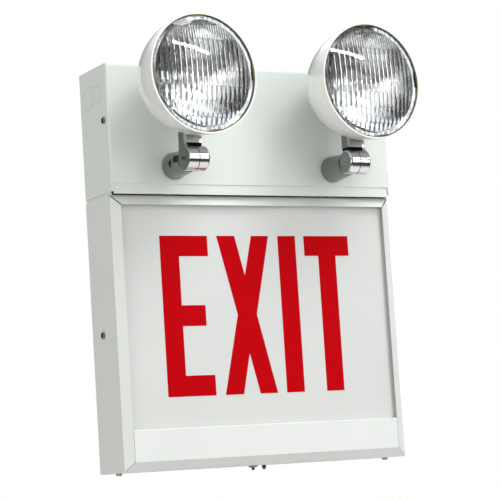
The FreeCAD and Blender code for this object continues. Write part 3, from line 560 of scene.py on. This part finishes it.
def buildFluteGroup():
    # painted shade: dark lines on the inner face of a lens along the flute valleys and row ledges, row
    # by row, from the middle of the lens outward
    group, start, end = newGroup("fluteShade", [
        ("Middle", (0.0, 0.0, 0.0)), ("Turn", 0.0), ("Pitch", 0.0052), ("Row Height", 0.0143),
        ("Row Offset", 0.0025), ("Field", 0.0485), ("Valley", 0.30), ("Clear", tint(252, 253, 253)),
        ("Dark", tint(8, 9, 9)), ("Rim Shade Tint", tint(222, 225, 224)), ("Crown", 0.0065),
        ("Ball", 0.3725)], [("Color", "NodeSocketColor")])
    given, nodes, links, lines = start.outputs, group.nodes, group.links, fluteLines
    where = nodes.new("ShaderNodeTexCoord").outputs["Object"]
    moved = vectorNode(group, "SUBTRACT", where, given["Middle"])
    spun = nodes.new("ShaderNodeVectorRotate")
    spun.rotation_type = "Z_AXIS"
    links.new(moved, spun.inputs["Vector"])
    links.new(given["Turn"], spun.inputs["Angle"])
    axes = splitAxes(group, spun.outputs[0])
    rows = mathNode(group, "DIVIDE", mathNode(group, "SUBTRACT", axes["Z"], given["Row Offset"]),
                    given["Row Height"])
    row = mathNode(group, "FLOOR", rows)
    # flutes of the upper rows are half as wide, and each row starts at a place of its own
    fine = mathNode(group, "GREATER_THAN", row, lines["fineRow"])
    wave = mathNode(group, "SINE", mathNode(group, "MULTIPLY", row, lines["driftTurn"]))
    drift = mathNode(group, "MULTIPLY", wave, lines["driftShare"])
    across = mathNode(group, "ADD", mathNode(group, "DIVIDE", axes["X"], given["Pitch"]), drift)
    phase = mathNode(group, "MULTIPLY", across, mathNode(group, "ADD", fine, 1.0))
    # the valleys differ in width
    cell = nodes.new("ShaderNodeCombineXYZ")
    links.new(mathNode(group, "ROUND", phase), cell.inputs[0])
    links.new(row, cell.inputs[1])
    chance = nodes.new("ShaderNodeTexWhiteNoise")
    chance.noise_dimensions = "2D"
    links.new(cell.outputs[0], chance.inputs["Vector"])
    share = mathNode(group, "MULTIPLY_ADD", chance.outputs["Value"], lines["widthSpread"],
                     lines["widthLeast"])
    width = mathNode(group, "MULTIPLY", share, given["Valley"])
    gap = mathNode(group, "DIVIDE", mathNode(group, "PINGPONG", phase, 0.5), width)
    near = mathNode(group, "SUBTRACT", 1.0, gap, clamp=True)
    step = mathNode(group, "DIVIDE", mathNode(group, "PINGPONG", rows, 0.5), lines["ledgeHalf"])
    ledge = mathNode(group, "SUBTRACT", 1.0, step, clamp=True)
    deep = mathNode(group, "MAXIMUM", mathNode(group, "POWER", near, lines["valleyCurve"]),
                    mathNode(group, "MULTIPLY", ledge, lines["ledgeShade"]))
    # only on the inner face, and only within the fluted field
    flat = nodes.new("ShaderNodeCombineXYZ")
    links.new(axes["X"], flat.inputs[0])
    links.new(axes["Z"], flat.inputs[1])
    far = vectorNode(group, "LENGTH", flat.outputs[0])
    inside = mathNode(group, "LESS_THAN", far, given["Field"])
    bulge = mathNode(group, "DIVIDE", mathNode(group, "POWER", far, 2.0), given["Ball"])
    behind = mathNode(group, "SUBTRACT", mathNode(group, "ADD", axes["Y"], given["Crown"]), bulge)
    inner = mathNode(group, "GREATER_THAN", behind, lines["innerFrom"])
    shade = mathNode(group, "MULTIPLY", mathNode(group, "MULTIPLY", deep, inside), inner, clamp=True)
    # outside the fluted field the glass takes a grey tint, painted shade on the rim annulus
    base = blendNode(group, inside, given["Rim Shade Tint"], given["Clear"])
    links.new(blendNode(group, shade, base, given["Dark"]), end.inputs["Color"])
    return group


glassMarks = {
    "ior": 1.5,
    "scale": 90.0,
    "detail": 2.0,
    "rough": 0.5,
    "film": [(0.0, 0.0), (0.62, 0.0), (0.9, 0.05)],
}


def newGlass(name, color):
    # clear glass with faint handling marks
    material = bpy.data.materials.new(name)
    material.use_nodes = True
    tree = material.node_tree
    shader = tree.nodes["Principled BSDF"]
    shader.inputs["Base Color"].default_value = color
    shader.inputs["Transmission Weight"].default_value = 1.0
    shader.inputs["IOR"].default_value = glassMarks["ior"]
    where = tree.nodes.new("ShaderNodeTexCoord").outputs["Object"]
    marks = noiseNode(tree, where, glassMarks["scale"], glassMarks["detail"], glassMarks["rough"])
    tree.links.new(rampNode(tree, marks, glassMarks["film"]), shader.inputs["Roughness"])
    return material


# both lamps stand turned a little about the upright line through the middle of their rims
lampPose = {
    "across": 90.0 * mm,
    "rim": -143.0 * mm,
    "height": 38.0 * mm,
    "turn": 4.5,
}
signs = {"left": -1, "right": 1}


def newLensGlass(side):
    material = newGlass("lensGlass_" + side, tint(250, 252, 252))
    tree = material.node_tree
    maker = tree.nodes.new("ShaderNodeGroup")
    maker.node_tree = groups["flute"]
    maker.inputs["Middle"].default_value = (signs[side] * lampPose["across"], lampPose["rim"],
                                            lampPose["height"])
    maker.inputs["Turn"].default_value = -math.radians(lampPose["turn"])
    tree.links.new(maker.outputs["Color"], tree.nodes["Principled BSDF"].inputs["Base Color"])
    return material


groups["flute"] = buildFluteGroup()
for side in signs:
    finishes["lensGlass_" + side] = newLensGlass(side)
finishes["bulbGlass"] = newGlass("bulbGlass", tint(244, 246, 246))

nodeFinish = {
    "coverPaint": ["front_cover", "back_pan"],
    "signPaint": ["sign_housing", "bottom_cover", "panel_channels"],
    "panelWhite": ["face_panel"],
    "agedBrass": ["side_screws"],
    "zinc": ["battery_bracket", "mounting_screws", "board_screws", "bottom_screws", "joining_bolts",
             "joining_nuts", "switch_nut", "battery_terminals"],
    "blackMoulding": ["battery", "charge_relay", "test_switch", "test_button", "pilot_clip"],
    "ironVarnish": ["transformer"],
    "boardGreen": ["charger_board"],
    "boardWhite": ["light_boards"],
    "bareAluminium": ["filter_capacitors", "heat_sink"],
    "terminalGreen": ["terminal_block"],
    "phosphor": ["light_emitters"],
    "whiteNylon": ["board_standoffs", "light_board_spacers"],
    "blackRubber": ["panel_pads", "wire_bushing"],
    "pilotTint": ["pilot_light"],
}
for side in signs:
    for finish, part in (("satinCasting", "swivel_base_"), ("castGrey", "swivel_yoke_"),
                         ("zinc", "stem_nut_"), ("zinc", "yoke_screw_"), ("brass", "lock_screw_"),
                         ("brass", "pivot_screw_"), ("brass", "lamp_terminals_"),
                         ("lampPaint", "head_housing_"), ("lensGlass_" + side, "lens_"),
                         ("mirrorSilver", "reflector_"), ("blackRubber", "lamp_gasket_"),
                         ("creamCeramic", "bulb_holder_"), ("bulbGlass", "bulb_")):
        nodeFinish.setdefault(finish, []).append(part + side)


def dressNodes():
    for finish, names in nodeFinish.items():
        for name in names:
            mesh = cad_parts[name].data
            mesh.materials.clear()
            mesh.materials.append(finishes[finish])


dressNodes()
print("finishes ready")


# mesh helpers
def aimed(side, points):
    # points given as (across, behind the rim, up) from the middle of the rim
    spin = Matrix.Rotation(math.radians(lampPose["turn"]), 3, "Z")
    middle = Vector((signs[side] * lampPose["across"], lampPose["rim"], lampPose["height"]))
    return [tuple(middle + spin @ Vector(p)) for p in points]


def newPiece(name, points, faces, finish, body, slotName, smoothAngle=30.0):
    mesh = bpy.data.meshes.new(name)
    mesh.from_pydata(points, [], faces)
    work = bmesh.new()
    work.from_mesh(mesh)
    bmesh.ops.remove_doubles(work, verts=work.verts, dist=mergeDistance)
    bmesh.ops.recalc_face_normals(work, faces=work.faces)
    work.to_mesh(mesh)
    work.free()
    mesh.polygons.foreach_set("use_smooth", [True] * len(mesh.polygons))
    mesh.set_sharp_from_angle(angle=math.radians(smoothAngle))
    mesh.materials.append(finishes[finish])
    piece = bpy.data.objects.new(name, mesh)
    bpy.context.scene.collection.objects.link(piece)
    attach(piece, body)
    return piece


def ringFaces(count, after, closed=True):
    # quads between neighbouring copies of a profile of count points, where after copies close the round
    faces = []
    for k in range(after):
        near, far = k * count, (k + 1) % after * count
        for j in range(count if closed else count - 1):
            up = (j + 1) % count
            faces.append((near + j, near + up, far + up, far + j))
    return faces


def turnedMesh(profile, segments):
    # closed profile of (radius, y) turned about the lamp axis
    points = []
    for k in range(segments):
        angle = 2 * math.pi * k / segments
        points += [(radius * math.cos(angle), y, radius * math.sin(angle)) for radius, y in profile]
    return points, ringFaces(len(profile), segments)


def spunMesh(profile, centre, s, segments):
    # open profile of (radius, x) spun about a line along X
    points = []
    for k in range(segments):
        angle = 2 * math.pi * k / segments
        points += [(s * x, centre[0] + radius * math.cos(angle), centre[1] + radius * math.sin(angle))
                   for radius, x in profile]
    return points, ringFaces(len(profile), segments, closed=False)


def blockMesh(low, high):
    points = [(x, y, z) for x in (low[0], high[0]) for y in (low[1], high[1]) for z in (low[2], high[2])]
    return points, [(0, 1, 3, 2), (4, 6, 7, 5), (0, 4, 5, 1), (2, 3, 7, 6), (0, 2, 6, 4), (1, 5, 7, 3)]


# lettering of the sign, printed on the face panel
lettering = {
    "proud": 0.15 * mm,
    "sunk": 0.05 * mm,
    "shapes": {
        "letterE": [(-103.5, -252.75), (-53.0, -252.75), (-53.0, -233.25), (-83.9, -233.25),
                    (-83.9, -186.45), (-59.0, -186.45), (-59.0, -166.75), (-83.9, -166.75),
                    (-83.9, -119.95), (-53.0, -119.95), (-53.0, -100.35), (-103.5, -100.35)],
        "letterX": [(-43.0, -100.35), (-23.5, -100.35), (-14.45, -139.0), (-5.2, -100.35),
                    (13.75, -100.35), (-4.05, -176.5), (13.75, -252.75), (-5.2, -252.75),
                    (-14.45, -213.7), (-23.4, -252.75), (-43.0, -252.75), (-24.8, -176.5)],
        "letterI": [(23.9, -252.75), (43.5, -252.75), (43.5, -100.35), (23.9, -100.35)],
        "letterT": [(68.6, -252.75), (88.2, -252.75), (88.2, -119.95), (103.5, -119.95),
                    (103.5, -100.35), (53.1, -100.35), (53.1, -119.95), (68.6, -119.95)],
    },
}


def printLetters():
    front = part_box("face_panel")[0][1]
    for name, outline in lettering["shapes"].items():
        count = len(outline)
        points = [(x * mm, front - lettering["proud"], z * mm) for x, z in outline]
        points += [(x * mm, front + lettering["sunk"], z * mm) for x, z in outline]
        faces = [tuple(range(count)), tuple(reversed(range(count, 2 * count)))]
        faces += [(j, (j + 1) % count, (j + 1) % count + count, j + count) for j in range(count)]
        newPiece(name, points, faces, "letterRed", "housing", "pilot_red")


printLetters()
print("letters ready")

# painted shade: dark strips laid in the open mitres at the top corners of the frame, standing in for the
# shade inside the gaps
mitreShape = {
    "outer": (152.4 * mm, -62.6 * mm),
    "inner": (143.5 * mm, -71.5 * mm),
    "outerFront": -55.5 * mm,
    "innerFront": -60.5 * mm,
    "half": 0.42 * mm,
    "proud": 0.06 * mm,
    "deep": 0.5 * mm,
}


def shadeMitres():
    shape = mitreShape
    lean = shape["half"] * math.sqrt(0.5)
    for side, s in signs.items():
        points = []
        for end in ("outer", "inner"):
            (x, z), front = shape[end], shape[end + "Front"]
            for y in (front - shape["proud"], front + shape["deep"]):
                points += [(s * (x - lean), y, z + lean), (s * (x + lean), y, z - lean)]
        faces = [(0, 1, 5, 4), (2, 6, 7, 3), (0, 2, 3, 1), (4, 5, 7, 6), (0, 4, 6, 2), (1, 3, 7, 5)]
        newPiece("mitreShade_" + side, points, faces, "darkGap", "housing", "housing_paint")


shadeMitres()
print("mitres ready")


# lamp lens: domed outside, fluted rows inside
lensShape = {
    "radius": 54.0 * mm,
    "field": 48.5 * mm,
    "dome": 8.0 * mm,
    "wall": 3.0 * mm,
    "flange": 2.0 * mm,
    "crown": -6.5 * mm,
    "pitch": 5.2 * mm,
    "finePitch": 2.6 * mm,
    "depth": 0.8 * mm,
    "rowHeight": 14.3 * mm,
    "rowOffset": 2.5 * mm,
    "rowTilt": 0.05,
    "rowSink": 0.4 * mm,
    "fineRow": 2,
    "fineDepth": 0.5,
    "rowsEachWay": 4,
    "levelsPerRow": 10,
    "columnsPerFlute": 8,
    "ledge": 0.1 * mm,
    "rimAngle": 28,
    "rimStep": 2,
    "smooth": 25.0,
    "thinnest": 0.01 * mm,
}


def lensLevels():
    shape = lensShape
    levels = []
    radius, high, lip, parts = shape["radius"], shape["rowHeight"], shape["ledge"], shape["levelsPerRow"]
    for k in range(-shape["rowsEachWay"], shape["rowsEachWay"] + 1):
        low = shape["rowOffset"] + k * high
        levels += [low - lip, low + lip] + [low + high * j / parts for j in range(1, parts)]
    angles = range(0, shape["rimAngle"], shape["rimStep"])
    levels += [s * radius * math.cos(math.radians(a)) for a in angles for s in (-1, 1)]
    levels += [s * (shape["field"] + q * lip) for s in (-1, 1) for q in (-1, 1)]
    return sorted(z for z in set(round(z, 7) for z in levels) if abs(z) <= radius)


def lensInside(x, z):
    # height of the fluted inner face, from the dome's crown
    shape = lensShape
    ball = (shape["radius"] ** 2 + shape["dome"] ** 2) / (2 * shape["dome"])
    reach = math.hypot(x, z)
    flat = shape["dome"] + shape["flange"]
    if reach > shape["field"]:
        return flat
    inner = ball - shape["wall"]
    bare = ball - math.sqrt(inner ** 2 - reach ** 2)
    row = math.floor((z - shape["rowOffset"]) / shape["rowHeight"])
    above = z - shape["rowOffset"] - row * shape["rowHeight"]
    fine = row >= shape["fineRow"]
    pitch = shape["finePitch"] if fine else shape["pitch"]
    depth = shape["depth"] * (shape["fineDepth"] if fine else 1.0)
    flute = depth * abs(math.sin(math.pi * x / pitch))
    return min(bare + flute + shape["rowTilt"] * above - shape["rowSink"], flat)


def pressLens(side):
    shape = lensShape
    ball = (shape["radius"] ** 2 + shape["dome"] ** 2) / (2 * shape["dome"])
    levels = lensLevels()
    step = shape["pitch"] / shape["columnsPerFlute"]
    wide = int(shape["radius"] / step) + 1
    columns = [j * step for j in range(-wide, wide + 1)]
    front, inside = [], []
    for z in levels:
        limit = math.sqrt(max(shape["radius"] ** 2 - z * z, 0.0))
        for x in columns:
            u = max(-limit, min(limit, x))
            reach = min(math.hypot(u, z), shape["radius"])
            sag = ball - math.sqrt(ball ** 2 - reach ** 2)
            front.append((u, shape["crown"] + sag, z))
            inside.append((u, shape["crown"] + lensInside(u, z), z))
    total, across, rows = len(front), len(columns), len(levels)
    faces = []
    for r in range(rows - 1):
        for c in range(across - 1):
            a, b = r * across + c, r * across + c + 1
            quad = (a, b, b + across, a + across)
            faces.append(quad)
            faces.append(tuple(total + k for k in reversed(quad)))
    # the rim wall closes the four sides of the grid
    sides = ([r * across for r in range(rows)], [r * across + across - 1 for r in range(rows)],
             list(range(across)), [(rows - 1) * across + c for c in range(across)])
    for line in sides:
        faces += [(near, far, far + total, near + total) for near, far in zip(line, line[1:])]
    lens = newPiece("flutedLens_" + side, aimed(side, front + inside), faces, "lensGlass_" + side,
                    side + "_head", "lens_glass", shape["smooth"])
    work = bmesh.new()
    work.from_mesh(lens.data)
    bmesh.ops.dissolve_degenerate(work, dist=shape["thinnest"], edges=work.edges)
    bmesh.ops.recalc_face_normals(work, faces=work.faces)
    work.to_mesh(lens.data)
    work.free()
    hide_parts("lens_" + side)


# mirror bowl behind the lens
reflectorShape = {
    "front": 3.5 * mm,
    "focal": 17.0 * mm,
    "mouth": 50.0 * mm,
    "throat": 7.0 * mm,
    "wall": 1.2 * mm,
    "flangeRadius": 53.6 * mm,
    "flange": 1.0 * mm,
    "flangeStart": 0.8 * mm,
    "steps": 40,
    "segments": 160,
    "smooth": 50.0,
}


def spinReflector(side):
    shape = reflectorShape
    front, focal, steps = shape["front"], shape["focal"], shape["steps"]
    depth = shape["mouth"] ** 2 / (4 * focal)
    inner = []
    for k in range(steps + 1):
        radius = shape["throat"] + (shape["mouth"] - shape["throat"]) * k / steps
        inner.append((radius, front + depth - radius ** 2 / (4 * focal)))
    outer = [(radius, y + shape["wall"]) for radius, y in reversed(inner)]
    behind = front + shape["flange"]
    profile = inner + [(shape["flangeRadius"], front), (shape["flangeRadius"], behind),
                       (shape["mouth"] + shape["flangeStart"], behind)] + outer
    points, faces = turnedMesh(profile, shape["segments"])
    bowl = newPiece("mirrorBowl_" + side, aimed(side, points), faces, "mirrorSilver", side + "_head",
                    "reflector_silver", shape["smooth"])
    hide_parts("reflector_" + side)


# wire ring between the lens and the rim of its housing
ringShape = {
    "radius": 54.45 * mm,
    "wire": 0.42 * mm,
    "behindRim": 0.5 * mm,
    "sides": 12,
    "segments": 128,
    "smooth": 60.0,
}


def fitRing(side):
    shape, wire = ringShape, ringShape["wire"]
    turns = [2 * math.pi * k / shape["sides"] for k in range(shape["sides"])]
    profile = [(shape["radius"] + wire * math.cos(a), shape["behindRim"] + wire * math.sin(a))
               for a in turns]
    points, faces = turnedMesh(profile, shape["segments"])
    newPiece("lampRing_" + side, aimed(side, points), faces, "lampRing", side + "_head", "brass_screws",
             shape["smooth"])


# neck of each swivel: grey web between the posts, and a dark block filling the gap under the inner post
neckShape = {
    "outer": 98.0 * mm,
    "inner": 79.0 * mm,
    "post": 3.0 * mm,
    "front": -108.0 * mm,
    "back": -97.0 * mm,
    "foot": -20.45 * mm,
    "earTop": -22.9 * mm,
    "webTop": -11.0 * mm,
    "webProud": 0.12 * mm,
    "webThick": 3.0 * mm,
    "webLift": 0.1 * mm,
    "blockIn": 0.2 * mm,
    "blockBack": 0.5 * mm,
}


def fillNeck(side):
    shape, s = neckShape, signs[side]
    post, front, foot = shape["post"], shape["front"], shape["foot"]
    inner, outer = sorted((s * (shape["inner"] + post), s * (shape["outer"] - post)))
    web = blockMesh((inner, front - shape["webProud"], foot + shape["webLift"]),
                    (outer, front + shape["webThick"], shape["webTop"]))
    newPiece("neckWeb_" + side, *web, "satinPlate", side + "_head", "swivel_grey")
    inner, outer = sorted((s * (shape["inner"] + shape["blockIn"]), s * (shape["outer"] - post)))
    darkBlock = blockMesh((inner, front + shape["blockBack"], shape["earTop"]),
                    (outer, shape["back"] - shape["blockBack"], foot))
    newPiece("neckDarkBlock_" + side, *darkBlock, "darkGap", side + "_head", "swivel_grey")


# painted shade: a dark zigzag band in the toothed joint between the two knuckle halves, standing in for
# the shade in the seam
teethShape = {
    "seam": 87.0 * mm,
    "pivot": (-106.0 * mm, -35.0 * mm),
    "radius": 11.72 * mm,
    "depth": 0.5 * mm,
    "half": 0.28 * mm,
    "throw": 0.3 * mm,
    "teeth": 44,
}


def shadeTeeth(side):
    shape, s = teethShape, signs[side]
    count, (forward, up) = shape["teeth"] * 4, shape["pivot"]
    points = []
    for k in range(count):
        angle = 2 * math.pi * k / count
        lean = shape["throw"] * (1 if k % 4 in (1, 2) else -1)
        for sunk, across in ((0.0, -1), (0.0, 1), (shape["depth"], 1), (shape["depth"], -1)):
            radius = shape["radius"] - sunk
            points.append((s * shape["seam"] + (lean + across * shape["half"]),
                           forward + radius * math.cos(angle), up + radius * math.sin(angle)))
    newPiece("seamTeethShade_" + side, points, ringFaces(4, count), "darkGap", side + "_swivel",
             "swivel_grey")


# screws of each swivel, with painted shade for their cross recesses, and the plug at the other end of
# each pivot, with painted shade round the screw tip
screwShape = {
    "lock": {"seat": 97.6 * mm, "centre": (-79.5 * mm, -35.0 * mm), "head": 3.0 * mm, "rise": 1.5 * mm,
             "shank": 1.6 * mm, "grip": 4.4 * mm},
    "pivot": {"seat": 98.0 * mm, "centre": (-106.0 * mm, -35.0 * mm), "head": 2.5 * mm, "rise": 1.4 * mm,
              "shank": 2.5 * mm, "grip": 21.0 * mm},
    "dome": ((0.5, 0.94), (0.82, 0.7), (1.0, 0.25)),
    "recessShades": (("RecessA_", 0.2, 0.6), ("RecessB_", 0.6, 0.2)),
    "recessFloor": 0.8,
    "recessProud": 0.04 * mm,
    "plugFace": 76.1 * mm,
    "plugDeep": 0.45 * mm,
    # the dark middle step is painted shade round the pivot screw tip
    "plugSteps": (("pivotPlug_", "satinPlate", "swivel_grey", 2.45 * mm, 0.0),
                  ("pivotRing_", "darkGap", "swivel_grey", 1.35 * mm, 0.05 * mm),
                  ("pivotTip_", "agedBrass", "brass_screws", 0.75 * mm, 0.1 * mm)),
    "segments": 40,
}


def driveScrew(kind, side):
    shape, s, body = screwShape[kind], signs[side], side + "_swivel"
    head, rise, seat, centre = shape["head"], shape["rise"], shape["seat"], shape["centre"]
    profile = [(0.0, seat + rise)]
    profile += [(wide * head, seat + tall * rise) for wide, tall in screwShape["dome"]]
    profile += [(head, seat), (shape["shank"], seat), (shape["shank"], seat - shape["grip"]),
                (0.0, seat - shape["grip"])]
    screw = newPiece(kind + "Screw_" + side, *spunMesh(profile, centre, s, screwShape["segments"]),
                     "agedBrass", body, "brass_screws")
    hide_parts(kind + "_screw_" + side)
    # two crossed dark boxes on each head: painted shade of the cross recess
    for name, wide, tall in screwShape["recessShades"]:
        near, far = sorted((s * (seat + screwShape["recessFloor"] * rise),
                            s * (seat + rise + screwShape["recessProud"])))
        low = (near, centre[0] - wide * head, centre[1] - tall * head)
        high = (far, centre[0] + wide * head, centre[1] + tall * head)
        newPiece(kind + name + side, *blockMesh(low, high), "darkGap", body, "brass_screws")


def plugPivot(side):
    face, centre = screwShape["plugFace"], screwShape["pivot"]["centre"]
    back = face + screwShape["plugDeep"]
    for name, finish, slotName, radius, proud in screwShape["plugSteps"]:
        profile = [(0.0, face - proud), (radius, face - proud), (radius, back), (0.0, back)]
        newPiece(name + side, *spunMesh(profile, centre, signs[side], screwShape["segments"]), finish,
                 side + "_swivel", slotName)


# spring clips that hold the lens in the rim
clipShape = {
    "outer": 54.75 * mm,
    "bite": 1.9 * mm,
    "least": 0.1 * mm,
    "curve": 0.7,
    "front": -0.35 * mm,
    "back": 0.9 * mm,
    "places": (94.0, 4.0, -82.0, 186.0),
    "span": 20.0,
    "steps": 14,
}


def springClips(side):
    shape, points, faces = clipShape, [], []
    steps, outer = shape["steps"], shape["outer"]
    for place in shape["places"]:
        first = len(points)
        for k in range(steps + 1):
            angle = math.radians(place + shape["span"] * (k / steps - 0.5))
            swell = math.sin(math.pi * (k / steps))
            inner = outer - (shape["bite"] * swell ** shape["curve"] + shape["least"])
            points += [(radius * math.cos(angle), y, radius * math.sin(angle)) for radius, y in (
                (outer, shape["front"] * swell), (outer, shape["back"]),
                (inner, shape["back"]), (inner, shape["front"] * swell))]
        for a in range(first, len(points) - 4, 4):
            faces += [(a + j, a + (j + 1) % 4, a + 4 + (j + 1) % 4, a + 4 + j) for j in range(4)]
        faces += [tuple(range(first, first + 4)), tuple(range(len(points) - 4, len(points)))]
    newPiece("lampClips_" + side, aimed(side, points), faces, "lampRing", side + "_head", "brass_screws")


for side in signs:
    springClips(side)
    fillNeck(side)
    shadeTeeth(side)
    driveScrew("lock", side)
    driveScrew("pivot", side)
    plugPivot(side)
print("swivels ready")

for side in signs:
    pressLens(side)
    spinReflector(side)
    fitRing(side)
print("lamps ready")
